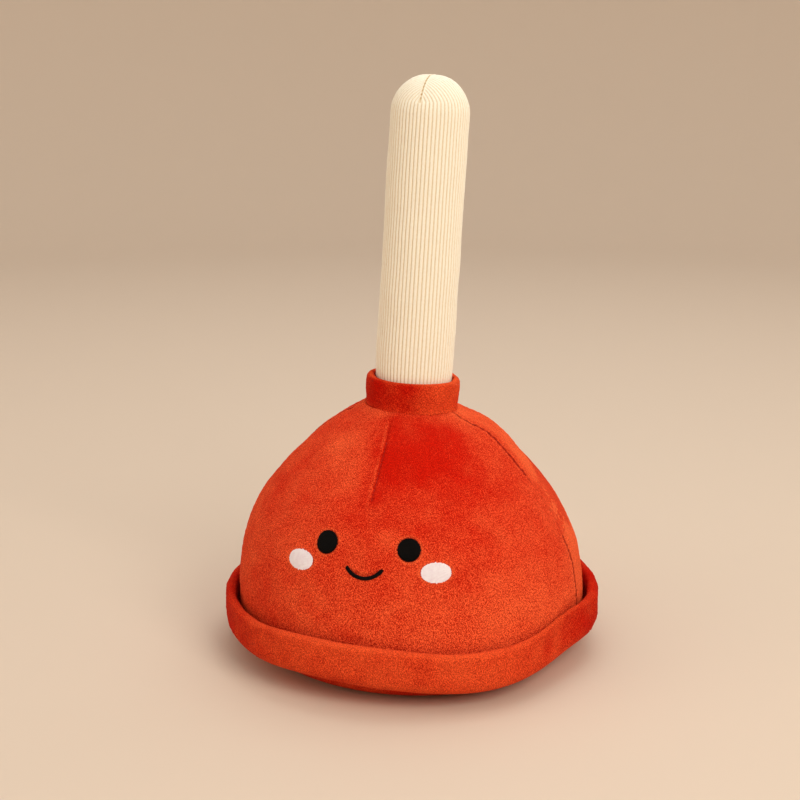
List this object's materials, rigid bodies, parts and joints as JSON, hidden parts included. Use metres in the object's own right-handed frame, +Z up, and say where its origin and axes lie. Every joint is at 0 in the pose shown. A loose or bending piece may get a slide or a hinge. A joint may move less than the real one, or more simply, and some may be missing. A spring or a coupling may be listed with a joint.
{
  "type": "plush toy plunger",
  "caption": "Stuffed soft toy in the shape of a plunger: a red velour bell with a turned-up brim and a stitched smiling face, and a leaning tan corduroy handle in a folded collar.",
  "frame": {"origin": "middle of the flat underside, where the toy stands", "axes": "+Z up towards the handle's tip, the face looks along -Y, and the face's left eye as seen is at -X"},
  "size_m": [0.2012, 0.2012, 0.3],
  "materials": {
    "red_velour": "matte pile",
    "tan_corduroy": "matte ribbed",
    "black_embroidery": "satin",
    "pink_embroidery": "satin",
    "red_thread": "satin",
    "tan_thread": "satin",
    "polyester_filling": "matte",
    "backing_fabric": "matte",
    "label_tape": "satin"
  },
  "bodies": {
    "root": {"bell_front_panel": "red_velour", "bell_back_panel": "red_velour", "bell_base_panel": "red_velour", "brim_band": "red_velour", "collar_band": "red_velour", "handle_sleeve": "tan_corduroy", "bell_filling": "polyester_filling", "brim_batting": "polyester_filling", "handle_filling": "polyester_filling", "left_eye": "black_embroidery", "right_eye": "black_embroidery", "mouth": "black_embroidery", "left_cheek": "pink_embroidery", "right_cheek": "pink_embroidery", "face_backing": "backing_fabric", "front_dart_thread": "red_thread", "back_dart_thread": "red_thread", "left_side_thread": "red_thread", "right_side_thread": "red_thread", "base_seam_thread": "red_thread", "neck_seam_thread": "red_thread", "collar_back_thread": "red_thread", "closing_stitches": "red_thread", "handle_tip_thread": "tan_thread", "handle_back_thread": "tan_thread", "care_label": "label_tape"}
  },
  "joints": []
}
